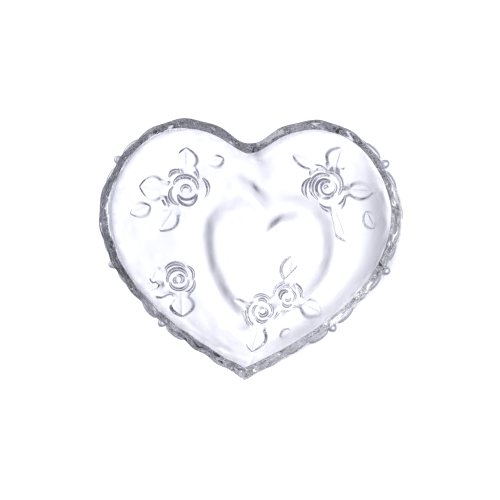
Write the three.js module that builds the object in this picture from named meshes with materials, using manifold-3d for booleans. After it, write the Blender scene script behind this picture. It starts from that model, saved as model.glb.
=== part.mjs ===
// Heart-shaped dish of clear pressed glass, for trinkets.
//
// Millimetres, +Z up. The dish stands on its foot ring at z = 0. The heart's tip points to -Y
// and its two lobes to +Y. The origin is on the table, under the middle of the dish's box.
// The real dish is one piece of glass. Here each of its moulded features is its own solid, and
// neighbours keep the small gap named "seam" between them.
//
// "Bearing" is the direction from the middle of the dish, in degrees from +X towards +Y.
// "Climb" is how far up the wall a place is: 0 at the foot outline and 1 at the rim. Below 0
// it is on the floor: -0.2 is a fifth of the way from the foot outline back to the middle.

import * as THREE from "three";
import { mergeVertices } from "three/addons/utils/BufferGeometryUtils.js";
import loadManifold from "manifold-3d";

// ---------- Driving dimensions ----------

const seam = 0.3;

// The heart that the rim follows, seen from above. Each pull is the length of a curve's handle.
const rimHeart = {
  width: 150,
  length: 127,
  widestUp: 83,
  lobeAcross: 32.5,
  notchDepth: 12,
  tipHalfAngle: 64,
  tipPull: 34,
  sidePull: 39,
  shoulderPull: 9,
  crownPull: 28,
  dipPull: 18.5,
  notchPull: 6.5,
};

// The smaller heart of the foot ring, turned a little against the rim's heart.
const footHeart = {
  width: 69.5,
  length: 68.5,
  widestUp: 45,
  lobeAcross: 16.5,
  notchDepth: 6.5,
  tipHalfAngle: 74,
  tipPull: 13.5,
  sidePull: 19.5,
  shoulderPull: 11.5,
  crownPull: 9,
  dipPull: 8,
  notchPull: 5,
};
const footTurn = -15;
const footCentre = { x: -3.1, y: -5.1 };

const dishHeight = 34;
const footHeight = 2.5;
const footRingWidth = 6;
const footRingRound = 0.8;
// Between the cut ends of the foot ring and the two roses that stand in its place.
const footRingGap = 1.5;
const floorThickness = 3.5;

// The wall leaves the floor smoothly, stays shallow and then steepens towards the rim. The
// shallow share is how much of its height comes from the shallow curve.
const wallShallowShare = 0.42;
const wallShallowPower = 1.5;
const wallSteepPower = 4;

const rimBandHeight = 6.7;
const rimBandWidth = 4.75;
const rimBandDraft = 0.6;
const rimBandRound = 1;
const rimScallops = 26;
const rimScallopDepth = 0.8;
const rimWaveHeight = 0.6;

const rimBeadDiameter = 4.6;
const rimLeafLength = 11;
const rimLeafHeight = 4.8;
const rimLeafThickness = 3.4;
const rimOrnamentDrop = 3.4;
// Between a bead and its leaves, along the rim: wider than a seam, as the rim curves there.
const rimOrnamentGap = 0.8;

// Groups of rim ornaments follow one another up each side of the rim: a leaf, a bead and a
// leaf, and then the bare stretch before the next group.
const rimBareBeforeGroup = { lower: 37, side: 10, upper: 25 };

const rosePetals = 5;
const petalDip = 0.1;
const roseRelief = 1.5;
const leafRelief = 0.9;
const budRelief = 1.1;
const reliefEdge = 0.35;

// A rose's relief from its edge inwards: outer petals, a groove, inner petals, a groove and a
// bud. "share" is the share of its radius, and "rise" the share of its full relief.
const roseGroove = 0.45;
const roseSteps = [
  { share: 0.92, rise: 0.8 },
  { share: 0.66, rise: roseGroove },
  { share: 0.56, rise: 1 },
  { share: 0.34, rise: roseGroove },
  { share: 0.2, rise: 0.9 },
  { share: 0, rise: 0.9 },
];

// Each spray is one rose, the leaves that point away from it and the buds near it. A leaf
// reaches from the rose's edge to its own tip. "bareFromFoot" is the bare stretch of wall
// between the foot outline and a rose's edge.
const sprays = {
  upper_left: {
    rose: { bearing: 143.5, bareFromFoot: 0.3, diameter: 20 },
    leaves: [
      { bearing: 126.5, climb: 0.67, width: 9 },
      { bearing: 153.5, climb: 0.74, width: 11 },
      { bearing: 170.5, climb: 0.42, width: 9 },
    ],
    buds: [
      { bearing: 118, climb: 0.39, length: 8.5, width: 6.5, heading: 20 },
      { bearing: 163, climb: 0.66, length: 9, width: 7.5, heading: 25 },
    ],
  },
  upper_right: {
    rose: { bearing: 43, bareFromFoot: 2.1, diameter: 20 },
    leaves: [
      { bearing: 50.5, climb: 0.79, width: 10.5 },
      { bearing: 27, climb: 0.73, width: 8 },
      { bearing: 7.5, climb: 0.24, width: 9 },
    ],
    buds: [
      { bearing: 63.5, climb: 0.54, length: 11, width: 5.5, heading: -32 },
      { bearing: 15.5, climb: 0.58, length: 9, width: 7.5, heading: -60 },
    ],
  },
  lower_left: {
    rose: { bearing: 201, bareFromFoot: 3.2, diameter: 15 },
    leaves: [
      { bearing: 194, climb: 0.76, width: 8 },
      { bearing: 223, climb: 0.77, width: 9 },
    ],
    buds: [
      { besideRoseOf: "lower_left", toward: 223.3, bareFromRose: 1.26, length: 6.5, width: 5, heading: -30 },
    ],
  },
  lower_centre: {
    rose: { bearing: -87, climb: -0.12, diameter: 15 },
    leaves: [
      { bearing: 240, climb: -0.21, width: 4 },
      { bearing: -92, climb: 0.59, width: 10.5 },
    ],
    buds: [{ bearing: -70, climb: 0.54, length: 6, width: 5, heading: 35 }],
  },
  lower_right: {
    rose: { besideRoseOf: "lower_centre", toward: 30, bareFromRose: 0.6, diameter: 13 },
    leaves: [
      { bearing: -12, climb: -0.51, width: 8.5 },
      { bearing: -43.5, climb: 0.65, width: 8.5 },
    ],
    buds: [],
  },
};

// How finely the solids are divided.
const outlineSteps = 72;
const samplesPerCurve = 60;
const wallRows = 8;
const pointsPerScallop = 4;
const linePointsPerScallop = 40;
const roseCorners = 20;
const leafCorners = 16;
const budCorners = 14;
const backRings = [0.35, 0.7, 1];
const beadCorners = 14;
const beadRows = 8;
const rimLeafSections = 6;
const rimLeafCorners = 8;

// ---------- Material ----------

function clearGlass(colour) {
  const material = new THREE.MeshStandardMaterial({ color: colour, roughness: 0.05, metalness: 0 });
  material.transparent = true;
  material.opacity = 0.4;
  return material;
}

const bodyGlass = () => clearGlass(0xe9eaf4);
const reliefGlass = () => clearGlass(0xdcdde9);

// ---------- Heart outlines ----------

const turnOf = (degrees) => THREE.MathUtils.degToRad(degrees);

// The right half of a heart, from its tip over the lobe to its notch, drawn "inset" inside its
// outline. Its middle is half its length above the tip.
function rightHalf(heart, inset) {
  const tipAngle = turnOf(heart.tipHalfAngle);
  const half = heart.length / 2;
  const side = heart.width / 2 - inset;
  const widest = heart.widestUp - half;
  const crown = half - inset;
  const notch = half - heart.notchDepth - inset;
  const tip = -half + inset / Math.sin(tipAngle);
  const across = heart.lobeAcross;
  const path = new THREE.Path();
  path.moveTo(0, tip);
  path.bezierCurveTo(
    heart.tipPull * Math.sin(tipAngle), tip + heart.tipPull * Math.cos(tipAngle),
    side, widest - heart.sidePull,
    side, widest,
  );
  path.bezierCurveTo(side, widest + heart.shoulderPull, across + heart.crownPull, crown, across, crown);
  path.bezierCurveTo(across - heart.dipPull, crown, heart.notchPull, notch, 0, notch);
  return path;
}

// A whole heart as points, anticlockwise from its tip.
function heartPoints(heart, inset) {
  const right = rightHalf(heart, inset).getSpacedPoints(3 * samplesPerCurve);
  const left = right.slice(1, -1).reverse().map((point) => new THREE.Vector2(-point.x, point.y));
  return [...right, ...left];
}

// A closed outline as its distance from the origin at each angle.
function distanceByAngle(points) {
  const polar = points.map((point) => ({ angle: point.angle(), distance: point.length() }));
  polar.sort((a, b) => a.angle - b.angle);
  const last = polar[polar.length - 1];
  const first = polar[0];
  const fullTurn = 2 * Math.PI;
  polar.unshift({ angle: last.angle - fullTurn, distance: last.distance });
  polar.push({ angle: first.angle + fullTurn, distance: first.distance });
  return (angle) => {
    const wanted = THREE.MathUtils.euclideanModulo(angle, fullTurn);
    const after = polar.findIndex((entry) => entry.angle > wanted);
    const high = polar[after];
    const low = polar[after - 1];
    const share = (wanted - low.angle) / (high.angle - low.angle);
    return THREE.MathUtils.lerp(low.distance, high.distance, share);
  };
}

const rimOutline = (inset) => distanceByAngle(heartPoints(rimHeart, inset));

function footOutline(inset) {
  const middle = new THREE.Vector2(0, 0);
  const shift = new THREE.Vector2(footCentre.x, footCentre.y);
  const points = heartPoints(footHeart, inset);
  return distanceByAngle(points.map((point) => point.rotateAround(middle, turnOf(footTurn)).add(shift)));
}

const tipBearing = -Math.PI / 2;
const anglesAround = (count) =>
  [...Array(count).keys()].map((step) => tipBearing + (2 * Math.PI * step) / count);
const stepAngles = anglesAround(outlineSteps);

const pointAt = (angle, distance, z) =>
  new THREE.Vector3(distance * Math.cos(angle), distance * Math.sin(angle), z);

// One level row of points around the dish, following an outline.
const rowAround = (outline, z, scale = 1) =>
  stepAngles.map((angle) => pointAt(angle, scale * outline(angle), z));

// ---------- Solids from rows of points ----------

function facingOut(points, triangles) {
  const at = (index) => points[index];
  let volume = 0;
  for (const [a, b, c] of triangles) volume += at(a).dot(at(b).clone().cross(at(c)));
  const outward = volume > 0 ? triangles : triangles.map(([a, b, c]) => [a, c, b]);
  const geometry = new THREE.BufferGeometry().setFromPoints(points);
  geometry.setIndex(outward.flat());
  return geometry;
}

function stripBetween(first, second, count) {
  const triangles = [];
  for (let step = 0; step < count; step += 1) {
    const next = (step + 1) % count;
    triangles.push([first + step, first + next, second + next]);
    triangles.push([first + step, second + next, second + step]);
  }
  return triangles;
}

// A solid skin from one end point, through closed rows, to the other end point.
function lensSolid(start, rows, end) {
  const count = rows[0].length;
  const points = [start, ...rows.flat(), end];
  const rowStart = (row) => 1 + row * count;
  const lastPoint = points.length - 1;
  const triangles = [];
  for (let step = 0; step < count; step += 1) {
    const next = (step + 1) % count;
    triangles.push([0, rowStart(0) + next, rowStart(0) + step]);
    const lastRow = rowStart(rows.length - 1);
    triangles.push([lastPoint, lastRow + step, lastRow + next]);
  }
  for (let row = 0; row + 1 < rows.length; row += 1) {
    triangles.push(...stripBetween(rowStart(row), rowStart(row + 1), count));
  }
  return facingOut(points, triangles);
}

// A solid hoop: closed rows that run round its section and meet the first row again.
function hoopSolid(rows) {
  const count = rows[0].length;
  const triangles = rows.flatMap((_, row) =>
    stripBetween(row * count, ((row + 1) % rows.length) * count, count));
  return facingOut(rows.flat(), triangles);
}

function named(name, geometry, material) {
  geometry.computeVertexNormals();
  const mesh = new THREE.Mesh(geometry, material);
  mesh.name = name;
  return mesh;
}

// ---------- Bowl ----------

const footOuter = footOutline(0);
const rimBandFoot = dishHeight - rimBandHeight;
const bowlTop = rimBandFoot - seam;
const bowlTopOuter = rimOutline(rimBandDraft);
const bowlTopInner = rimOutline(rimBandWidth);

const wallRise = (climb) =>
  wallShallowShare * climb ** wallShallowPower + (1 - wallShallowShare) * climb ** wallSteepPower;

const outerWallHeight = (climb) =>
  footHeight + (bowlTop - footHeight) * wallRise(Math.max(climb, 0));

function wallRow(top, floorHeight, climb) {
  const z = floorHeight + (bowlTop - floorHeight) * wallRise(climb);
  const distance = (angle) => THREE.MathUtils.lerp(footOuter(angle), top(angle), climb);
  return rowAround(distance, z);
}

function bowl() {
  const insideFloor = footHeight + floorThickness;
  const climbs = [...Array(wallRows + 1).keys()].map((row) => row / wallRows);
  const outside = climbs.map((climb) => wallRow(bowlTopOuter, footHeight, climb));
  const inside = climbs.map((climb) => wallRow(bowlTopInner, insideFloor, climb)).reverse();
  const underside = rowAround(footOuter, footHeight, 0.5);
  const floor = rowAround(footOuter, insideFloor, 0.5);
  const start = new THREE.Vector3(0, 0, footHeight);
  const end = new THREE.Vector3(0, 0, insideFloor);
  return lensSolid(start, [underside, ...outside, ...inside, floor], end);
}

// ---------- Rim band ----------

// The rim's outer edge is gently scalloped, and its top waves with the scallops. The heart's
// tip is the middle of a scallop.
const scallopPhase = (angle) => rimScallops * (angle - tipBearing);
const scallopInset = (angle) => (rimScallopDepth * (1 - Math.cos(scallopPhase(angle)))) / 2;
const waveDrop = (angle) => (rimWaveHeight * (1 - Math.cos(scallopPhase(angle)))) / 2;
const rimOuter = rimOutline(0);
const scallopedRim = (angle) => rimOuter(angle) - scallopInset(angle);
const rimAngles = anglesAround(pointsPerScallop * rimScallops);

function rimBand() {
  const shoulder = dishHeight - rimBandRound;
  const belly = rimBandFoot + rimBandRound;
  const outerRows = [
    { inset: rimBandDraft, z: rimBandFoot },
    { inset: 0, z: belly },
    { inset: 0, z: shoulder - rimWaveHeight },
  ];
  const outer = outerRows.map(({ inset, z }) =>
    rimAngles.map((angle) => pointAt(angle, scallopedRim(angle) - inset, z)));
  const crownOuter = rimOutline(rimBandRound);
  const crownInner = rimOutline(rimBandWidth - rimBandRound);
  const inner = rimOutline(rimBandWidth);
  const crown = [
    rimAngles.map((angle) =>
      pointAt(angle, crownOuter(angle) - scallopInset(angle), dishHeight - waveDrop(angle))),
    rimAngles.map((angle) => pointAt(angle, crownInner(angle), dishHeight - waveDrop(angle))),
  ];
  const inside = [shoulder - rimWaveHeight, rimBandFoot].map((z) =>
    rimAngles.map((angle) => pointAt(angle, inner(angle), z)));
  return hoopSolid([...outer, ...crown, ...inside]);
}

// ---------- Rim ornaments ----------

// The scalloped rim as a closed line, so that a place on it can be reached by going along it.
const rimCorners = anglesAround(linePointsPerScallop * rimScallops).map(
  (angle) => pointAt(angle, scallopedRim(angle), 0));
const rimLine = new THREE.CurvePath();
rimCorners.forEach((corner, index) => {
  rimLine.add(new THREE.LineCurve3(corner, rimCorners[(index + 1) % rimCorners.length]));
});
const rimLength = rimLine.getLength();

// The place "along" millimetres from the tip, up the right side, or the left side if negative.
function rimPlace(along) {
  const share = THREE.MathUtils.euclideanModulo(along, rimLength) / rimLength;
  const here = rimLine.getPointAt(share);
  const tangent = rimLine.getTangentAt(share);
  return { here, outward: new THREE.Vector3(tangent.y, -tangent.x, 0) };
}

const ornamentHeight = dishHeight - rimOrnamentDrop;

function rimBead(along) {
  const radius = rimBeadDiameter / 2;
  const { here, outward } = rimPlace(along);
  const geometry = new THREE.SphereGeometry(radius, beadCorners, beadRows);
  geometry.rotateX(Math.PI / 2);
  const centre = here.add(outward.multiplyScalar(radius + seam + rimScallopDepth / 2));
  geometry.translate(centre.x, centre.y, ornamentHeight);
  return geometry;
}

// A pointed leaf that lies along the outside of the rim, before or after its bead.
function rimLeaf(beadAlong, side) {
  const reach = rimBeadDiameter / 2 + rimOrnamentGap + rimLeafLength / 2;
  const offset = seam + rimScallopDepth / 2 + rimLeafThickness / 2;
  const sectionAt = (share) => {
    const { here, outward } = rimPlace(beadAlong + side * (reach + rimLeafLength * (share - 0.5)));
    const middle = here.add(outward.clone().multiplyScalar(offset));
    middle.z = ornamentHeight;
    return { middle, outward };
  };
  const rows = [];
  for (let section = 1; section < rimLeafSections; section += 1) {
    const share = section / rimLeafSections;
    const fullness = Math.sin(Math.PI * share);
    const { middle, outward } = sectionAt(share);
    rows.push([...Array(rimLeafCorners).keys()].map((corner) => {
      const turn = (2 * Math.PI * corner) / rimLeafCorners;
      const out = (fullness * Math.cos(turn) * rimLeafThickness) / 2;
      const up = (fullness * Math.sin(turn) * rimLeafHeight) / 2;
      const point = middle.clone().addScaledVector(outward, out);
      point.z += up;
      return point;
    }));
  }
  return lensSolid(sectionAt(0).middle, rows, sectionAt(1).middle);
}

// ---------- Foot ring ----------

function footRing() {
  const top = footHeight - seam;
  const middle = (footHeight + seam) / 2;
  const section = [
    { inset: seam, z: top },
    { inset: 0, z: middle },
    { inset: footRingRound, z: 0 },
    { inset: footRingWidth - footRingRound, z: 0 },
    { inset: footRingWidth, z: middle },
    { inset: footRingWidth - seam, z: top },
  ];
  return hoopSolid(section.map(({ inset, z }) => rowAround(footOutline(inset), z)));
}

// ---------- Reliefs on the outside of the wall ----------

function climbOf(x, y) {
  const angle = Math.atan2(y, x);
  const foot = footOuter(angle);
  return (Math.hypot(x, y) - foot) / (bowlTopOuter(angle) - foot);
}

const wallZ = (x, y) => outerWallHeight(climbOf(x, y));

// The point that stands "out" millimetres off the outside of the wall, below plan point x, y.
function offWall(x, y, out) {
  const step = 0.2;
  const slopeX = (wallZ(x + step, y) - wallZ(x - step, y)) / (2 * step);
  const slopeY = (wallZ(x, y + step) - wallZ(x, y - step)) / (2 * step);
  const outward = new THREE.Vector3(slopeX, slopeY, -1).normalize();
  return new THREE.Vector3(x, y, wallZ(x, y)).addScaledVector(outward, out);
}

function distanceOut(angle, { climb, bareFromFoot, diameter }) {
  const foot = footOuter(angle);
  if (bareFromFoot !== undefined) return foot + bareFromFoot + diameter / 2;
  if (climb < 0) return foot * (1 + climb);
  return THREE.MathUtils.lerp(foot, bowlTopOuter(angle), climb);
}

function planPoint(place) {
  if (place.besideRoseOf) return pointBeside(sprays[place.besideRoseOf].rose, place);
  const angle = turnOf(place.bearing);
  const distance = distanceOut(angle, place);
  return new THREE.Vector2(distance * Math.cos(angle), distance * Math.sin(angle));
}

// The middle of a rose or a bud that stands "bareFromRose" away from the edge of another rose.
function pointBeside(neighbour, { toward, bareFromRose, diameter, width }) {
  const apart = neighbour.diameter / 2 + bareFromRose + (diameter ?? width) / 2;
  const step = new THREE.Vector2(apart * Math.cos(turnOf(toward)), apart * Math.sin(turnOf(toward)));
  return planPoint(neighbour).add(step);
}

// A raised patch on the wall. "edge" gives the patch's edge, from its centre, at each turn.
// "profile" runs from the edge to the centre: a share of the way out, and the relief there.
function reliefSolid(centre, corners, edge, profile) {
  const turns = [...Array(corners).keys()].map((corner) => (2 * Math.PI * corner) / corners);
  const ringOf = (share, relief) => turns.map((turn) => {
    const out = edge(turn).multiplyScalar(share);
    return offWall(centre.x + out.x, centre.y + out.y, seam + relief);
  });
  const back = backRings.map((share) => ringOf(share, 0));
  const face = profile.slice(0, -1).map(({ share, relief }) => ringOf(share, relief));
  const start = offWall(centre.x, centre.y, seam);
  const end = offWall(centre.x, centre.y, seam + profile[profile.length - 1].relief);
  return lensSolid(start, [...back, ...face], end);
}

const edgeStep = { share: 1, relief: reliefEdge };

function rose(spec) {
  const edge = (turn) => {
    const petal = 1 - (petalDip * (1 - Math.cos(rosePetals * turn))) / 2;
    const radius = (petal * spec.diameter) / 2;
    return new THREE.Vector2(radius * Math.cos(turn), radius * Math.sin(turn));
  };
  const inner = roseSteps.map(({ share, rise }) => ({ share, relief: rise * roseRelief }));
  return reliefSolid(planPoint(spec), roseCorners, edge, [edgeStep, ...inner]);
}

// The edge of a pointed oval that is "length" long in direction "heading".
function pointedOval(length, width, heading) {
  const middle = new THREE.Vector2(0, 0);
  return (turn) => {
    const across = Math.sin(turn) * Math.sqrt(Math.abs(Math.sin(turn)));
    const point = new THREE.Vector2((Math.cos(turn) * length) / 2, (across * width) / 2);
    return point.rotateAround(middle, heading);
  };
}

// A leaf from its rose's edge to its own tip, highest along its midrib.
function leaf(roseSpec, leafSpec) {
  const roseCentre = planPoint(roseSpec);
  const tip = planPoint(leafSpec);
  const heading = tip.clone().sub(roseCentre).angle();
  const stemEnd = new THREE.Vector2(roseSpec.diameter / 2 + 2 * seam, 0)
    .rotateAround(new THREE.Vector2(0, 0), heading)
    .add(roseCentre);
  const centre = stemEnd.clone().add(tip).multiplyScalar(0.5);
  const edge = pointedOval(stemEnd.distanceTo(tip), leafSpec.width, heading);
  const shoulder = { share: 0.5, relief: (leafRelief + reliefEdge) / 2 };
  return reliefSolid(centre, leafCorners, edge, [edgeStep, shoulder, { share: 0, relief: leafRelief }]);
}

function flowerBud(spec) {
  const edge = pointedOval(spec.length, spec.width, turnOf(spec.heading));
  const domeAt = (share) => {
    const rise = Math.sqrt(1 - share ** 2);
    return { share, relief: THREE.MathUtils.lerp(reliefEdge, budRelief, rise) };
  };
  return reliefSolid(planPoint(spec), budCorners, edge, [1, 0.8, 0.4, 0].map(domeAt));
}

// ---------- Cutting the foot ring where a rose or leaf takes its place ----------

const wasm = await loadManifold();
wasm.setup();

function solidOf(geometry) {
  const vertProperties = new Float32Array(geometry.getAttribute("position").array);
  const triVerts = new Uint32Array(geometry.getIndex().array);
  return new wasm.Manifold(new wasm.Mesh({ numProp: 3, vertProperties, triVerts }));
}

function geometryOf(solid) {
  const mesh = solid.getMesh();
  const geometry = new THREE.BufferGeometry();
  geometry.setAttribute("position", new THREE.BufferAttribute(mesh.vertProperties, 3));
  geometry.setIndex(new THREE.BufferAttribute(mesh.triVerts, 1));
  return geometry;
}

// An upright plug, round at both ends, that takes in two neighbouring roses with clearance.
function plugAround(first, second) {
  const from = planPoint(first);
  const to = planPoint(second);
  const radius = Math.max(first.diameter, second.diameter) / 2 + footRingGap;
  const heading = to.clone().sub(from).angle();
  const quarter = Math.PI / 2;
  const outline = new THREE.Shape();
  outline.absarc(to.x, to.y, radius, heading - quarter, heading + quarter);
  outline.absarc(from.x, from.y, radius, heading + quarter, heading + 3 * quarter);
  const plug = new THREE.ExtrudeGeometry(outline, { depth: 3 * footHeight, bevelEnabled: false });
  plug.translate(0, 0, -footHeight);
  plug.deleteAttribute("normal");
  plug.deleteAttribute("uv");
  return mergeVertices(plug);
}

function footRingWithGap() {
  const plug = plugAround(sprays.lower_centre.rose, sprays.lower_right.rose);
  return geometryOf(solidOf(footRing()).subtract(solidOf(plug)));
}

// ---------- The dish ----------

const dish = new THREE.Group();
dish.add(named("bowl", bowl(), bodyGlass()));
dish.add(named("rim_band", rimBand(), bodyGlass()));
dish.add(named("foot_ring", footRingWithGap(), bodyGlass()));

for (const [place, spray] of Object.entries(sprays)) {
  dish.add(named(`rose_${place}`, rose(spray.rose), reliefGlass()));
  spray.leaves.forEach((spec, index) => {
    dish.add(named(`leaf_${place}_${index + 1}`, leaf(spray.rose, spec), reliefGlass()));
  });
  spray.buds.forEach((spec, index) => {
    dish.add(named(`bud_${place}_${index + 1}`, flowerBud(spec), reliefGlass()));
  });
}

const halfGroup = rimBeadDiameter / 2 + rimOrnamentGap + rimLeafLength;
let groupEnd = 0;
for (const [place, bareStretch] of Object.entries(rimBareBeforeGroup)) {
  const beadAlong = groupEnd + bareStretch + halfGroup;
  for (const [side, along] of [["right", beadAlong], ["left", -beadAlong]]) {
    dish.add(named(`rim_bead_${side}_${place}`, rimBead(along), reliefGlass()));
    dish.add(named(`rim_leaf_${side}_${place}_1`, rimLeaf(along, 1), reliefGlass()));
    dish.add(named(`rim_leaf_${side}_${place}_2`, rimLeaf(along, -1), reliefGlass()));
  }
  groupEnd = beadAlong + halfGroup;
}

// Put the middle of the dish's box over the origin.
const middle = new THREE.Box3().setFromObject(dish).getCenter(new THREE.Vector3());
dish.position.set(-middle.x, -middle.y, 0);

export default dish;
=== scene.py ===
import math

import bmesh
import bpy
import numpy as np
from mathutils import Matrix, Vector
from mathutils.geometry import delaunay_2d_cdt


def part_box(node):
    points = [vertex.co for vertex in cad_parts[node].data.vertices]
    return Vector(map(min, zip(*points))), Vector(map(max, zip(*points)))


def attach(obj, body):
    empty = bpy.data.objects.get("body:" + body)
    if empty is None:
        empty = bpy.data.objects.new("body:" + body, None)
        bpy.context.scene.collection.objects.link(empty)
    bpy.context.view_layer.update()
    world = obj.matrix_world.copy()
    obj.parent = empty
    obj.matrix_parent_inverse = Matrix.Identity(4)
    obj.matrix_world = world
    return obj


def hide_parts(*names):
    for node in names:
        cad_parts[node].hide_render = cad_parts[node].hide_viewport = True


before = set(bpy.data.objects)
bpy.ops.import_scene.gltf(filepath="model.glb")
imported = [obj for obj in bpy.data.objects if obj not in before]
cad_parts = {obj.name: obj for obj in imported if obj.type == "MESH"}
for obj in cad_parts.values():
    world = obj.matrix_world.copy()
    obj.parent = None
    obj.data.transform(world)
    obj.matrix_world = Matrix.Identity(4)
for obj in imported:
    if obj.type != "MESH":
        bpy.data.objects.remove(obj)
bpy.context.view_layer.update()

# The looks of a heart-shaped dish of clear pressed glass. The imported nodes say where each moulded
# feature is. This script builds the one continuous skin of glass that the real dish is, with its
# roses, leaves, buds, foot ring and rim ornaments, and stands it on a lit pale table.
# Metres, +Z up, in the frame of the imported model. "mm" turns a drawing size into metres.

mm = 0.001

# ---------- Sizes ----------

# The heart that the rim follows. Each pull is the length of a curve's handle.
RIM_HEART = {
    "width": 152.5 * mm, "length": 127.6 * mm, "widest_up": 83 * mm, "lobe_across": 32.5 * mm,
    "notch_depth": 12 * mm, "tip_half_angle": 64, "tip_pull": 34 * mm, "side_pull": 39 * mm,
    "shoulder_pull": 9 * mm, "crown_pull": 28 * mm, "dip_pull": 18.5 * mm, "notch_pull": 6.5 * mm,
}
FOOT_HEART = {
    "width": 69.5 * mm, "length": 68.5 * mm, "widest_up": 45 * mm, "lobe_across": 16.5 * mm,
    "notch_depth": 6.5 * mm, "tip_half_angle": 74, "tip_pull": 13.5 * mm, "side_pull": 19.5 * mm,
    "shoulder_pull": 11.5 * mm, "crown_pull": 9 * mm, "dip_pull": 8 * mm, "notch_pull": 5 * mm,
}
FOOT_TURN = -15
FOOT_CENTRE = np.array([-3.1, -5.1]) * mm

DISH_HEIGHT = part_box("rim_band")[1].z
RIM_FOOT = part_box("rim_band")[0].z
FOOT_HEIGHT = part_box("bowl")[0].z
FLOOR_THICKNESS = 3.5 * mm
RIM_WIDTH = 5.4 * mm
RIM_DRAFT = 0.6 * mm
RIM_FLARE = 1.2 * mm
RIM_OUTER_ROUND = 1.2 * mm
RIM_INNER_ROUND = 0.6 * mm
RIM_SCALLOPS = 26
SCALLOP_DEPTH = 0.8 * mm
WAVE_HEIGHT = 0.6 * mm
WAVE_REACH = 3 * mm

# The ring's flanks, from where each starts to where it ends, in from the foot's outline. The
# flanks are longer behind, towards the notch.
RING_OUTER_START = -5.2 * mm
RING_OUTER_START_BEHIND = -3 * mm
RING_TOP = 4 * mm
RING_INNER_RUN = 7.8 * mm
RING_INNER_RUN_BEHIND = 3.2 * mm

# The wall leaves the floor smoothly, stays shallow and then steepens towards the rim. The
# shallow share is how much of its height comes from the shallow curve.
WALL_SHALLOW_SHARE = 0.42
WALL_SHALLOW_POWER = 1.5
WALL_STEEP_POWER = 4

# Each rose is a low dome with petals on it, and is wider than packed by its spread. A fold is a
# petal's edge: its far end is further out, its middle bulges out and both ends taper. These
# three are shares of the fold's own distance out and width.
ROSE_RELIEF = 1.9 * mm
ROSE_SPREAD = 1.26
ROSE_DOME = 0.3
FOLD_WIDEN = 1.35
FOLD_TAPER = 0.55
FOLD_SPIRAL = 0.07
FOLD_BULGE = 0.12
# The steep edges of the petals all lean like this, as rise over run.
EDGE_SLOPE = 1.45
# Between the lowest petals and the table.
TABLE_GAP = 0.1 * mm

LEAF_RELIEF = 1.2 * mm
LEAF_POINT = 0.85
BUD_RELIEF = 1.1 * mm
BUD_POINT = 0.65
LEAF_STEEP_RUN = 2.4 * mm
LEAF_GENTLE_RUN = 3.6 * mm
LEAF_LENGTHEN = 1.14
LEAF_WIDEN = 1.35
MIDRIB_DEPTH = 0.25
MIDRIB_HALF_WIDTH = 1 * mm
# Leaves whose middle is to the right of this are pressed into the glass, the others stand out.
PRESSED_FROM = 0

# How deep the rim's beads and leaves sit in the rim, and how much thicker they are than packed.
ORNAMENT_SINK = 2.3 * mm
ORNAMENT_SWELL = 1.25

# How finely the skin is divided.
AROUND = 640
GRID_LOW, GRID_HIGH = (-80 * mm, -70 * mm), (80 * mm, 70 * mm)
COARSE_OUTSIDE = 1.3 * mm
COARSE_INSIDE = 1.6 * mm
FINE_ROSE = 0.24 * mm
FINE_LEAF = 0.32 * mm
RING_ANGLES = 260
RING_STEP = 0.8 * mm
TIP_ANGLE = -math.pi / 2

GLASS_TINT = (0.965, 0.97, 1.0, 1)
GLASS_IOR = 1.5
RIPPLE_SCALE = 75
RIPPLE_HEIGHT = 1.3 * mm
HAZE = 0.03
# The haze grows where the ripples' noise runs from the first of these to the second.
HAZE_FROM, HAZE_TO = 0.45, 0.75

TABLE_COLOR = (0.76, 0.76, 0.86, 1)
TABLE_RADIUS = 0.9
# The panel lies just above the table top, and both are below the foot.
TABLE_DROP = 0.05 * mm
PANEL_DROP = 0.03 * mm

# The panel under the dish: its width, how wide it shines, and how brightly straight up.
LIGHT_SIZE = 0.7
LIGHT_SPREAD = math.radians(76)
LIGHT_GLOW = 1.2

# A soft band in which the panel is dimmer: an oval's middle, half sizes, darkest side and depth,
# and a line across the lower right, beyond which it ends.
SHADE_CENTRE = (0, 8 * mm)
SHADE_SIZE = (67 * mm, 62 * mm)
SHADE_SIDE = (0.93, -0.37)
SHADE_DEPTH = 0.72
# Where the band starts and ends, as shares of the oval, and how far it reaches round the side.
SHADE_STARTS = (0.64, 0.98)
SHADE_ENDS = (1.08, 0.95)
SHADE_REACH = (0.3, 0.8)
SHADE_LINE = (0.67, -0.743)
SHADE_LINE_STARTS = 45 * mm
SHADE_LINE_ENDS = 57 * mm

# The studio above: where it is brightest, and its colours from the dark side to that place.
SKY_BRIGHTEST = (-0.65, 0.45, 0.75)
SKY_STOPS = [
    (0.0, (0.12, 0.12, 0.14)), (0.3, (0.2, 0.2, 0.24)), (0.6, (0.45, 0.45, 0.54)),
    (0.8, (1.0, 1.0, 1.04)), (1.0, (1.5, 1.5, 1.5)),
]

CAMERA_AZIMUTH = math.radians(90)
CAMERA_ELEVATION = math.radians(77)
CAMERA_ROLL = math.radians(1.32)
CAMERA_DISTANCE = 1.35406
CAMERA_TARGET = (1.64 * mm, -0.29 * mm, DISH_HEIGHT)
CAMERA_LENS = 200
CAMERA_SENSOR = 36


# ---------- Heart outlines ----------

def bezier(start, pull_a, pull_b, end, count):
    t = np.linspace(0, 1, count, endpoint=False)[:, None]
    s = 1 - t
    return s**3 * start + 3 * s * s * t * pull_a + 3 * s * t * t * pull_b + t**3 * end


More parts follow.
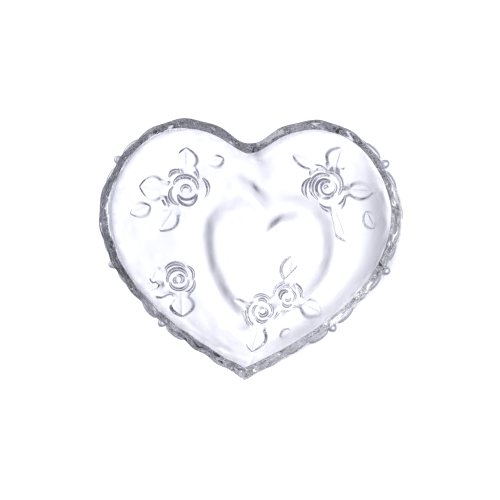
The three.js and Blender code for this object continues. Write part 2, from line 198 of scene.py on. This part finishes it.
def heart_points(heart, inset, count=200):
    """A heart's outline, drawn inset inside itself, from its tip over the right lobe and back."""
    angle = math.radians(heart["tip_half_angle"])
    half = heart["length"] / 2
    side = heart["width"] / 2 - inset
    widest = heart["widest_up"] - half
    crown = half - inset
    notch = half - heart["notch_depth"] - inset
    tip = -half + inset / math.sin(angle)
    across = heart["lobe_across"]
    point = lambda x, y: np.array([x, y])
    lean = heart["tip_pull"] * point(math.sin(angle), math.cos(angle))
    right = np.vstack([
        bezier(point(0, tip), point(0, tip) + lean, point(side, widest - heart["side_pull"]),
               point(side, widest), count),
        bezier(point(side, widest), point(side, widest + heart["shoulder_pull"]),
               point(across + heart["crown_pull"], crown), point(across, crown), count),
        bezier(point(across, crown), point(across - heart["dip_pull"], crown),
               point(heart["notch_pull"], notch), point(0, notch), count),
        point(0, notch)[None],
    ])
    return np.vstack([right, right[1:-1][::-1] * [-1, 1]])


def by_angle(points):
    """An outline as a function that gives its distance from the middle at each angle."""
    angles = np.arctan2(points[:, 1], points[:, 0])
    order = np.argsort(angles)
    angles, distances = angles[order], np.hypot(points[:, 0], points[:, 1])[order]
    return lambda angle: np.interp(angle, angles, distances, period=2 * math.pi)


def rim_outline(inset):
    return by_angle(heart_points(RIM_HEART, inset))


def foot_outline(inset):
    turn = math.radians(FOOT_TURN)
    turned = np.array([[math.cos(turn), math.sin(turn)], [-math.sin(turn), math.cos(turn)]])
    return by_angle(heart_points(FOOT_HEART, inset) @ turned + FOOT_CENTRE)


foot_outer = foot_outline(0)
bowl_top_outer = rim_outline(RIM_DRAFT)
bowl_top_inner = rim_outline(RIM_WIDTH)


# ---------- Wall surfaces ----------

def smoothstep(low, high, value):
    t = np.clip((value - low) / (high - low), 0, 1)
    return t * t * (3 - 2 * t)


def wall_rise(climb):
    climb = np.clip(climb, 0, None)
    steep = (1 - WALL_SHALLOW_SHARE) * climb**WALL_STEEP_POWER
    return WALL_SHALLOW_SHARE * climb**WALL_SHALLOW_POWER + steep


def climb_of(x, y, top):
    angle = np.arctan2(y, x)
    foot = foot_outer(angle)
    return (np.hypot(x, y) - foot) / (top(angle) - foot)


def outer_z(x, y):
    return FOOT_HEIGHT + (RIM_FOOT - FOOT_HEIGHT) * wall_rise(climb_of(x, y, bowl_top_outer))


def inner_z(x, y):
    floor = FOOT_HEIGHT + FLOOR_THICKNESS
    return floor + (RIM_FOOT - floor) * wall_rise(climb_of(x, y, bowl_top_inner))


def outward(x, y):
    """The direction straight out of the outside of the wall, below plan points x, y."""
    step = 0.3 * mm
    slope_x = (outer_z(x + step, y) - outer_z(x - step, y)) / (2 * step)
    slope_y = (outer_z(x, y + step) - outer_z(x, y - step)) / (2 * step)
    normal = np.stack([slope_x, slope_y, -np.ones_like(slope_x)], -1)
    return normal / np.linalg.norm(normal, axis=-1, keepdims=True)


# ---------- Where the frame puts each feature ----------

def plan_of(node):
    """A relief node seen from above: its middle, its heading, its length and its width."""
    points = np.array([v.co[:2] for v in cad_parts[node].data.vertices])
    middle = (points.min(0) + points.max(0)) / 2
    values, axes = np.linalg.eigh(np.cov((points - middle).T))
    along = (points - middle) @ axes[:, 1]
    across = (points - middle) @ axes[:, 0]
    middle = middle + axes[:, 1] * (along.max() + along.min()) / 2
    middle = middle + axes[:, 0] * (across.max() + across.min()) / 2
    return middle, axes[:, 1], np.ptp(along), np.ptp(across)


def spread_plan(node):
    """A leaf's plan, made larger by the soft edge that blends it into the wall."""
    middle, heading, length, width = plan_of(node)
    return middle, heading, LEAF_LENGTHEN * length, LEAF_WIDEN * width


def nodes_starting(start):
    return sorted(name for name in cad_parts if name.startswith(start))


ROSES = {name: plan_of(name) for name in nodes_starting("rose_")}
LEAVES = {name: spread_plan(name) for name in nodes_starting("leaf_")}
BUDS = {name: spread_plan(name) for name in nodes_starting("bud_")}


# ---------- Reliefs, as heights above the outside of the wall ----------

def fold_height(u, v, fold, slope):
    """A petal's rolled edge: a crescent ridge along a bulging arc round the rose's middle."""
    distance, start, end, width, height = fold
    middle, half = math.radians(start + end) / 2, math.radians(end - start) / 2
    angle = np.angle(np.exp(1j * (np.arctan2(v, u) - middle)))
    along = np.clip(angle, -half, half)
    share = along / half
    reach = distance * (1 + FOLD_SPIRAL * share - FOLD_BULGE * share**2)
    near_u, near_v = reach * np.cos(middle + along), reach * np.sin(middle + along)
    half_width = FOLD_WIDEN * width / 2 * (1 - FOLD_TAPER * share**2)
    return np.minimum(height, slope * (half_width - np.hypot(u - near_u, v - near_v)))


def rose_radius(name):
    _, _, length, width = ROSES[name]
    return ROSE_SPREAD * (length + width) / 4


def rose_height(x, y, name):
    """Height of a rose: a low dome with the rolled edges of its petals on it."""
    middle = ROSES[name][0]
    radius = rose_radius(name)
    u, v = (x - middle[0]) / radius, (y - middle[1]) / radius
    tallest = ROSE_DOME + max(height for *_, height in ROSE_FOLDS[name])
    room = float(outer_z(*middle)) - TABLE_GAP
    relief = min(ROSE_RELIEF, room / tallest)
    slope = EDGE_SLOPE * radius / relief
    dome = ROSE_DOME * np.clip(1 - np.hypot(u, v) ** 2, 0, None)
    height = np.zeros_like(u)
    for fold in ROSE_FOLDS[name]:
        height = np.maximum(height, fold_height(u, v, fold, slope))
    return relief * (dome + height)


def leaf_height(x, y, plan, relief, point):
    """Height of a leaf: a pointed oval with a groove along its midrib.

    Its edge is steep on the side of the dish's middle and gentle on the other.
    """
    middle, heading, length, width = plan
    dx, dy = x - middle[0], y - middle[1]
    along = (dx * heading[0] + dy * heading[1]) / (length / 2)
    across = dx * -heading[1] + dy * heading[0]
    half = width / 2 * np.clip(1 - along**2, 0, None) ** point
    inside = half - np.abs(across)
    toward = -(middle / np.linalg.norm(middle)) @ np.array([-heading[1], heading[0]])
    far_end = 0.6 * along * (heading @ middle > 0)
    facing = np.clip(0.5 + 0.5 * np.sign(across) * toward - far_end, 0, 1)
    run = LEAF_GENTLE_RUN + (LEAF_STEEP_RUN - LEAF_GENTLE_RUN) * facing
    body = smoothstep(0, run, inside)
    groove = MIDRIB_DEPTH * smoothstep(MIDRIB_HALF_WIDTH, 0, np.abs(across))
    groove = groove * smoothstep(0.95, 0.6, np.abs(along))
    return relief * np.clip(body - groove, 0, None)


def foot_height(x, y):
    """Height of the foot ring, which roses interrupt. It is gently rounded on both sides."""
    angle = np.arctan2(y, x)
    depth_in = foot_outer(angle) - np.hypot(x, y)
    behind = smoothstep(0.2, 0.9, np.sin(angle))
    rise = smoothstep(RING_OUTER_START + RING_OUTER_START_BEHIND * behind, RING_TOP, depth_in)
    inner_end = RING_TOP + RING_INNER_RUN + RING_INNER_RUN_BEHIND * behind
    fall = smoothstep(inner_end, RING_TOP, depth_in)
    return FOOT_HEIGHT * rise * fall


# The two roses that stand on the floor and take the foot ring's place.
FLOOR_ROSES = ("rose_lower_centre", "rose_lower_right")

# The folds of each rose: distance out, start, end, width and height, for a rose of radius 1.
ROSE_FOLDS = {
    "rose_upper_left": [
        (0.93, 100, 138, 0.17, 1.0), (0.93, 48, 84, 0.17, 1.0), (0.93, -28, 36, 0.19, 1.0),
        (0.95, 154, 246, 0.21, 1.0), (0.70, 166, 240, 0.13, 0.8), (0.60, 14, 150, 0.17, 1.1),
        (0.48, 215, 335, 0.26, 1.2), (0.20, -10, 190, 0.13, 0.8),
    ],
    "rose_upper_right": [
        (0.92, 90, 140, 0.21, 1.0), (0.96, 150, 214, 0.19, 1.0), (0.92, 246, 338, 0.22, 1.0),
        (0.70, -24, 90, 0.18, 1.1), (0.64, 80, 228, 0.17, 1.0), (0.35, 70, 325, 0.24, 1.2),
        (0.40, -40, 34, 0.11, 0.8), (0.08, 40, 200, 0.12, 0.6),
    ],
    "rose_lower_left": [
        (0.90, 66, 150, 0.20, 1.0), (0.90, 150, 262, 0.22, 1.0), (0.90, -82, -4, 0.19, 1.0),
        (0.90, 2, 58, 0.18, 1.0), (0.58, 24, 196, 0.18, 1.1), (0.56, 206, 356, 0.17, 1.0),
        (0.24, -60, 110, 0.16, 0.9), (0.22, 140, 260, 0.14, 0.9),
    ],
    "rose_lower_centre": [
        (0.92, 138, 276, 0.19, 1.0), (0.92, -30, 44, 0.18, 1.0), (0.90, 54, 128, 0.14, 0.8),
        (0.66, 66, 112, 0.16, 1.0), (0.58, 222, 300, 0.17, 1.1), (0.56, 310, 418, 0.14, 1.0),
        (0.52, 130, 212, 0.13, 0.9), (0.24, -160, 40, 0.18, 1.1), (0.20, 60, 150, 0.11, 0.8),
    ],
    "rose_lower_right": [
        (0.93, 50, 176, 0.19, 1.0), (0.93, -56, 40, 0.19, 1.0), (0.92, 186, 290, 0.15, 0.8),
        (0.70, 58, 160, 0.13, 0.8), (0.46, 92, 194, 0.26, 1.2), (0.58, 226, 304, 0.17, 1.1),
        (0.52, -40, 60, 0.14, 0.9), (0.22, 220, 350, 0.15, 0.9),
    ],
}


def relief_height(x, y):
    """Height of all reliefs together. Pressed leaves are below zero and give way to the rest."""
    height = foot_height(x, y)
    for name in ROSES:
        middle, radius = ROSES[name][0], rose_radius(name)
        away = np.hypot(x - middle[0], y - middle[1])
        near = away < 1.15 * radius
        clear = smoothstep(0.95 * radius, 1.12 * radius, away)
        if name in FLOOR_ROSES:
            height = height * clear
        height[near] = np.maximum(height[near], rose_height(x[near], y[near], name))
    kinds = ((LEAVES, LEAF_RELIEF, LEAF_POINT), (BUDS, BUD_RELIEF, BUD_POINT))
    for plans, relief, point in kinds:
        for plan in plans.values():
            near = np.hypot(x - plan[0][0], y - plan[0][1]) < 0.6 * plan[2]
            leaf = leaf_height(x[near], y[near], plan, relief, point)
            if plan[0][0] > PRESSED_FROM:
                height[near] = np.where(height[near] > 0.01 * mm, height[near], -leaf)
            else:
                height[near] = np.maximum(height[near], leaf)
    return height


# ---------- The skin ----------

def hex_grid(low, high, spacing):
    rows = np.arange(low[1], high[1], spacing * math.sqrt(3) / 2)
    points = []
    for row, y in enumerate(rows):
        xs = np.arange(low[0], high[0], spacing) + (row % 2) * spacing / 2
        points.append(np.stack([xs, np.full_like(xs, y)], -1))
    return np.vstack(points)


def fine_regions():
    """Ovals that need closer points: middle, heading, half length, half width and spacing."""
    regions = []
    for name, (middle, heading, _, _) in ROSES.items():
        half = rose_radius(name) + 0.9 * mm
        regions.append((middle, heading, half, half, FINE_ROSE))
    for middle, heading, length, width in [*LEAVES.values(), *BUDS.values()]:
        regions.append((middle, heading, length / 2 + 0.6 * mm, width / 2 + 0.6 * mm, FINE_LEAF))
    return regions


def within(points, region, more=0):
    """Which plan points lie in an oval region, or within "more" of it."""
    middle, heading, half_length, half_width, _ = region
    along = (points - middle) @ heading / (half_length + more)
    across = (points - middle) @ np.array([-heading[1], heading[0]]) / (half_width + more)
    return np.hypot(along, across) < 1


def outer_plan_points(top):
    """Plan points for the outside of the wall: close together only where there is relief."""
    coarse = hex_grid(GRID_LOW, GRID_HIGH, COARSE_OUTSIDE)
    regions = fine_regions()

    def inside_wall(points, margin):
        angle = np.arctan2(points[:, 1], points[:, 0])
        return np.hypot(points[:, 0], points[:, 1]) < top(angle) - margin

    ring_low, ring_high = -8.4 * mm, 15.6 * mm
    angle = np.arctan2(coarse[:, 1], coarse[:, 0])
    depth_in = foot_outer(angle) - np.hypot(coarse[:, 0], coarse[:, 1])
    keep = inside_wall(coarse, 0.9 * mm)
    keep &= (depth_in < ring_low - 0.3 * mm) | (depth_in > ring_high + 0.4 * mm)
    points = [coarse[keep]]
    ring_angles = np.linspace(0, 2 * math.pi, RING_ANGLES, endpoint=False)
    for depth in np.arange(ring_low, ring_high, RING_STEP):
        distance = foot_outer(ring_angles) - depth
        ring = np.stack([distance * np.cos(ring_angles), distance * np.sin(ring_angles)], -1)
        points.append(ring)
    merged = np.vstack(points)
    for index, region in enumerate(regions):
        middle, _, half_length, _, spacing = region
        merged = merged[~within(merged, region, 0.4 * spacing)]
        patch = hex_grid(middle - half_length, middle + half_length, spacing)
        patch = patch[within(patch, region) & inside_wall(patch, 0.5 * mm)]
        for other in regions[:index]:
            patch = patch[~within(patch, other, 0.3 * spacing)]
        merged = np.vstack([merged, patch])
    return merged


def triangulate(points, boundary_count):
    """Triangles over plan points, whose first boundary_count points are the closed outline."""
    edges = [(i, (i + 1) % boundary_count) for i in range(boundary_count)]
    out = delaunay_2d_cdt([Vector(p) for p in points], edges, [], 1, 1e-9)
    verts, faces, origins = out[0], out[2], out[3]
    assert len(verts) == len(points), (len(verts), len(points))
    order = np.array([origin[0] for origin in origins])
    return [tuple(int(order[i]) for i in face) for face in faces]


def rim_section():
    """The rim's section, from the outside of the wall over the top to the inside: (inset, z)."""
    top = DISH_HEIGHT
    r = RIM_OUTER_ROUND
    section = []
    for share in np.linspace(0, 1, 7)[1:]:
        section.append((RIM_DRAFT * (1 - smoothstep(0, 1, share)), RIM_FOOT + RIM_FLARE * share))
    for z in np.linspace(RIM_FOOT + RIM_FLARE, top - r, 8)[1:]:
        section.append((0, z))
    for a in np.linspace(0, math.pi / 2, 7)[1:]:
        section.append((r - r * math.cos(a), top - r + r * math.sin(a)))
    for inset in np.linspace(r, RIM_WIDTH - RIM_INNER_ROUND, 5)[1:]:
        section.append((inset, top))
    r = RIM_INNER_ROUND
    for a in np.linspace(0, math.pi / 2, 7)[1:]:
        section.append((RIM_WIDTH - r + r * math.sin(a), top - r + r * math.cos(a)))
    for z in np.linspace(top - r, RIM_FOOT, 8)[1:-1]:
        section.append((RIM_WIDTH, z))
    return section


def build_skin():
    """The dish as one closed surface: outside and underside, then the rim, then the inside."""
    angles = TIP_ANGLE + 2 * math.pi * np.arange(AROUND) / AROUND
    scallop = (1 - np.cos(RIM_SCALLOPS * (angles - TIP_ANGLE))) / 2
    around = lambda distance, z: np.stack(
        [distance * np.cos(angles), distance * np.sin(angles), np.broadcast_to(z, angles.shape)], -1)
    outer_ring = around(bowl_top_outer(angles), RIM_FOOT)
    inner_ring = around(bowl_top_inner(angles), RIM_FOOT)
    verts, faces = [], []
    # Outside of the wall and underside of the floor.
    plan = np.vstack([outer_ring[:, :2], outer_plan_points(bowl_top_outer)])
    x, y = plan[:, 0], plan[:, 1]
    base = np.stack([x, y, outer_z(x, y)], -1)
    out = relief_height(x.copy(), y.copy())
    out[:AROUND] = 0
    outside = base + outward(x, y) * out[:, None]
    outside[:AROUND] = outer_ring
    faces += [tuple(reversed(face)) for face in triangulate(plan, AROUND)]
    verts.append(outside)
    count = len(outside)
    # Rim.
    section = rim_section()
    last = np.arange(AROUND)
    for inset, z in section:
        outline = rim_outline(inset)
        fade = 1 - smoothstep(0.5 * RIM_WIDTH, 0.9 * RIM_WIDTH, inset)
        rise = smoothstep(RIM_FOOT, RIM_FOOT + RIM_FLARE, z)
        height = smoothstep(DISH_HEIGHT - WAVE_REACH, DISH_HEIGHT, z)
        row = around(outline(angles) - SCALLOP_DEPTH * scallop * fade * rise,
                     z - WAVE_HEIGHT * scallop * height)
        index = count + np.arange(AROUND)
        verts.append(row)
        for i in range(AROUND):
            j = (i + 1) % AROUND
            faces.append((last[i], last[j], index[j], index[i]))
        last = index
        count += AROUND
    # Inside.
    grid = hex_grid(GRID_LOW, GRID_HIGH, COARSE_INSIDE)
    angle = np.arctan2(grid[:, 1], grid[:, 0])
    grid = grid[np.hypot(grid[:, 0], grid[:, 1]) < bowl_top_inner(angle) - 1.0 * mm]
    plan = np.vstack([inner_ring[:, :2], grid])
    inside = np.stack([plan[:, 0], plan[:, 1], inner_z(plan[:, 0], plan[:, 1])], -1)
    inside[:AROUND] = inner_ring
    faces_inside = triangulate(plan, AROUND)
    verts.append(inside)
    faces += [tuple(count + i for i in face) for face in faces_inside]
    index = count + np.arange(AROUND)
    for i in range(AROUND):
        j = (i + 1) % AROUND
        faces.append((last[i], last[j], index[j], index[i]))
    mesh = bpy.data.meshes.new("glass_dish")
    mesh.from_pydata(np.vstack(verts).tolist(), [], [tuple(int(i) for i in f) for f in faces])
    mesh.validate()
    mesh.shade_smooth()
    piece = bpy.data.objects.new("glass_dish", mesh)
    bpy.context.scene.collection.objects.link(piece)
    return piece


# ---------- Rim ornaments ----------

def oval_solid(centre, outward_axis, half_long, half_high, half_thick):
    """A closed oval button in bmesh form, with its flat directions along the rim and up."""
    oval = bmesh.new()
    bmesh.ops.create_uvsphere(oval, u_segments=34, v_segments=18, radius=1)
    along = Vector((-outward_axis.y, outward_axis.x, 0))
    turn = Matrix((along, outward_axis, Vector((0, 0, 1)))).transposed().to_4x4()
    size = Matrix.Diagonal((half_long, half_thick, half_high, 1))
    oval.transform(Matrix.Translation(centre) @ turn @ size)
    return oval


def rim_ornaments(material):
    """The beads and little leaves on the outside of the rim, where the frame has them."""
    mesh = bpy.data.meshes.new("rim_ornaments")
    together = bmesh.new()
    for name in nodes_starting("rim_bead") + nodes_starting("rim_leaf"):
        low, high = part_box(name)
        points = np.array([v.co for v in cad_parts[name].data.vertices])
        middle = points.mean(0)
        plan = (points - middle)[:, :2]
        thin = np.linalg.eigh(np.cov(plan.T))[1][:, 0]
        if name.startswith("rim_bead"):
            thin = middle[:2] / np.linalg.norm(middle[:2])
        if thin @ middle[:2] < 0:
            thin = -thin
        half_thick = ORNAMENT_SWELL * np.ptp(plan @ thin) / 2
        half_long = np.ptp(plan @ np.array([-thin[1], thin[0]])) / 2
        thin = Vector((*thin, 0))
        oval = oval_solid(Vector(middle) - thin * ORNAMENT_SINK, thin, half_long,
                          (high.z - low.z) / 2, half_thick)
        oval.to_mesh(mesh)
        oval.free()
        together.from_mesh(mesh)
    together.to_mesh(mesh)
    together.free()
    mesh.materials.append(material)
    ornaments = bpy.data.objects.new("rim_ornaments", mesh)
    bpy.context.scene.collection.objects.link(ornaments)
    return ornaments


def join_onto(piece, ornaments):
    """One closed surface from the dish and its ornaments, with nothing left inside the glass."""
    modifier = piece.modifiers.new("join", "BOOLEAN")
    modifier.operation = "UNION"
    modifier.solver = "MANIFOLD"
    modifier.object = ornaments
    bpy.context.view_layer.objects.active = piece
    bpy.ops.object.modifier_apply(modifier=modifier.name)
    bpy.data.objects.remove(ornaments)


# ---------- Materials ----------

def glass_material():
    material = bpy.data.materials.new("clear_pressed_glass")
    material.use_nodes = True
    nodes, links = material.node_tree.nodes, material.node_tree.links
    shader = nodes["Principled BSDF"]
    shader.inputs["Base Color"].default_value = GLASS_TINT
    shader.inputs["Transmission Weight"].default_value = 1
    shader.inputs["IOR"].default_value = GLASS_IOR
    # The soft ripples of pressed glass, and the slight haze that its mould leaves in places.
    coordinates = nodes.new("ShaderNodeTexCoord")
    ripples = nodes.new("ShaderNodeTexNoise")
    ripples.inputs["Scale"].default_value = RIPPLE_SCALE
    ripples.inputs["Detail"].default_value = 1
    links.new(coordinates.outputs["Object"], ripples.inputs["Vector"])
    bump = nodes.new("ShaderNodeBump")
    bump.inputs["Strength"].default_value = 1
    bump.inputs["Distance"].default_value = RIPPLE_HEIGHT
    links.new(ripples.outputs["Fac"], bump.inputs["Height"])
    links.new(bump.outputs["Normal"], shader.inputs["Normal"])
    haze = nodes.new("ShaderNodeMapRange")
    haze.inputs["From Min"].default_value = HAZE_FROM
    haze.inputs["From Max"].default_value = HAZE_TO
    haze.inputs["To Min"].default_value = 0
    haze.inputs["To Max"].default_value = HAZE
    links.new(ripples.outputs["Fac"], haze.inputs["Value"])
    links.new(haze.outputs["Result"], shader.inputs["Roughness"])
    return material


def table_material():
    material = bpy.data.materials.new("pale_table")
    material.use_nodes = True
    shader = material.node_tree.nodes["Principled BSDF"]
    shader.inputs["Base Color"].default_value = TABLE_COLOR
    shader.inputs["Roughness"].default_value = 0.9
    shader.inputs["Specular IOR Level"].default_value = 0
    return material


# ---------- Stage, light and camera ----------

def add_table():
    """A plain pale table top."""
    bpy.ops.mesh.primitive_circle_add(vertices=128, radius=TABLE_RADIUS, fill_type="NGON")
    table = bpy.context.object
    table.name = "table"
    table.location.z = -TABLE_DROP
    table.data.materials.append(table_material())


def shade_light(data):
    """Dims the panel in a soft curved band under the right wall, like uneven light on a set."""
    data.use_nodes = True
    nodes, links = data.node_tree.nodes, data.node_tree.links
    place = nodes.new("ShaderNodeNewGeometry")
    centred = nodes.new("ShaderNodeVectorMath")
    centred.operation = "SUBTRACT"
    centred.inputs[1].default_value = (*SHADE_CENTRE, 0)
    links.new(place.outputs["Position"], centred.inputs[0])
    scaled = nodes.new("ShaderNodeVectorMath")
    scaled.operation = "DIVIDE"
    scaled.inputs[1].default_value = (*SHADE_SIZE, 1)
    links.new(centred.outputs[0], scaled.inputs[0])
    reach = nodes.new("ShaderNodeVectorMath")
    reach.operation = "LENGTH"
    links.new(scaled.outputs[0], reach.inputs[0])
    toward = nodes.new("ShaderNodeVectorMath")
    toward.operation = "DOT_PRODUCT"
    toward.inputs[1].default_value = Vector((*SHADE_SIDE, 0)).normalized()
    links.new(scaled.outputs[0], toward.inputs[0])

    def ramp(source, low, high):
        step = nodes.new("ShaderNodeMapRange")
        step.interpolation_type = "SMOOTHSTEP"
        step.inputs["From Min"].default_value = low
        step.inputs["From Max"].default_value = high
        links.new(source, step.inputs["Value"])
        return step.outputs["Result"]

    def times(first, second):
        product = nodes.new("ShaderNodeMath")
        product.operation = "MULTIPLY"
        links.new(first, product.inputs[0])
        links.new(second, product.inputs[1])
        return product.outputs[0]

    starts = ramp(reach.outputs["Value"], *SHADE_STARTS)
    ends = ramp(reach.outputs["Value"], *SHADE_ENDS)
    across = nodes.new("ShaderNodeVectorMath")
    across.operation = "DOT_PRODUCT"
    across.inputs[1].default_value = (*SHADE_LINE, 0)
    links.new(place.outputs["Position"], across.inputs[0])
    within_line = ramp(across.outputs["Value"], SHADE_LINE_ENDS, SHADE_LINE_STARTS)
    band = times(times(starts, ends), within_line)
    shade = times(band, ramp(toward.outputs["Value"], *SHADE_REACH))
    light = nodes.new("ShaderNodeMapRange")
    light.inputs["To Min"].default_value = 1
    light.inputs["To Max"].default_value = 1 - SHADE_DEPTH
    links.new(shade, light.inputs["Value"])
    links.new(light.outputs["Result"], nodes["Emission"].inputs["Strength"])


def add_light_panel():
    """A wide panel with a grid at table height: it shines up, and only near the vertical."""
    half_spread = LIGHT_SPREAD / 2
    full = math.tan(half_spread) / (math.tan(half_spread) - half_spread)
    area = math.pi * (LIGHT_SIZE / 2) ** 2
    data = bpy.data.lights.new("panel", "AREA")
    data.shape = "DISK"
    data.size = LIGHT_SIZE
    data.spread = LIGHT_SPREAD
    data.energy = math.pi * area * LIGHT_GLOW / full
    shade_light(data)
    panel = bpy.data.objects.new("panel", data)
    panel.rotation_euler.x = math.pi
    panel.location.z = -PANEL_DROP
    panel.visible_camera = True
    bpy.context.scene.collection.objects.link(panel)


def add_world():
    """A soft studio: dark towards the lower right, brightest high up behind the left lobe."""
    world = bpy.data.worlds.new("studio")
    bpy.context.scene.world = world
    world.use_nodes = True
    nodes, links = world.node_tree.nodes, world.node_tree.links
    background = nodes["Background"]
    coordinates = nodes.new("ShaderNodeTexCoord")
    brightest = nodes.new("ShaderNodeVectorMath")
    brightest.operation = "DOT_PRODUCT"
    brightest.inputs[1].default_value = Vector(SKY_BRIGHTEST).normalized()
    ramp = nodes.new("ShaderNodeValToRGB")
    links.new(coordinates.outputs["Generated"], brightest.inputs[0])
    links.new(brightest.outputs["Value"], ramp.inputs["Fac"])
    elements = ramp.color_ramp.elements
    while len(elements) < len(SKY_STOPS):
        elements.new(0.5)
    for element, (position, color) in zip(elements, SKY_STOPS):
        element.position = position
        element.color = (*color, 1)
    links.new(ramp.outputs["Color"], background.inputs["Color"])


def add_camera():
    level = math.cos(CAMERA_ELEVATION)
    back = Vector((math.sin(CAMERA_AZIMUTH) * level, -math.cos(CAMERA_AZIMUTH) * level,
                   math.sin(CAMERA_ELEVATION)))
    up_hint = Vector((-math.sin(CAMERA_ROLL), math.cos(CAMERA_ROLL), 0))
    right = (-back).cross(up_hint).normalized()
    up = right.cross(-back)
    data = bpy.data.cameras.new("camera")
    data.lens = CAMERA_LENS
    data.sensor_width = CAMERA_SENSOR
    camera = bpy.data.objects.new("camera", data)
    bpy.context.scene.collection.objects.link(camera)
    place = Matrix((right, up, back)).transposed().to_4x4()
    place.translation = Vector(CAMERA_TARGET) + back * CAMERA_DISTANCE
    camera.matrix_world = place
    bpy.context.scene.camera = camera


scene = bpy.context.scene
scene.view_settings.view_transform = "Standard"
scene.cycles.max_bounces = 24
scene.cycles.transmission_bounces = 24
scene.cycles.glossy_bounces = 12

add_camera()
add_table()
add_light_panel()
add_world()
dish = build_skin()
glass = glass_material()
dish.data.materials.append(glass)
join_onto(dish, rim_ornaments(glass))
dish.data.shade_smooth()
print("skin", len(dish.data.vertices), "points", len(dish.data.polygons), "faces")
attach(dish, "root")
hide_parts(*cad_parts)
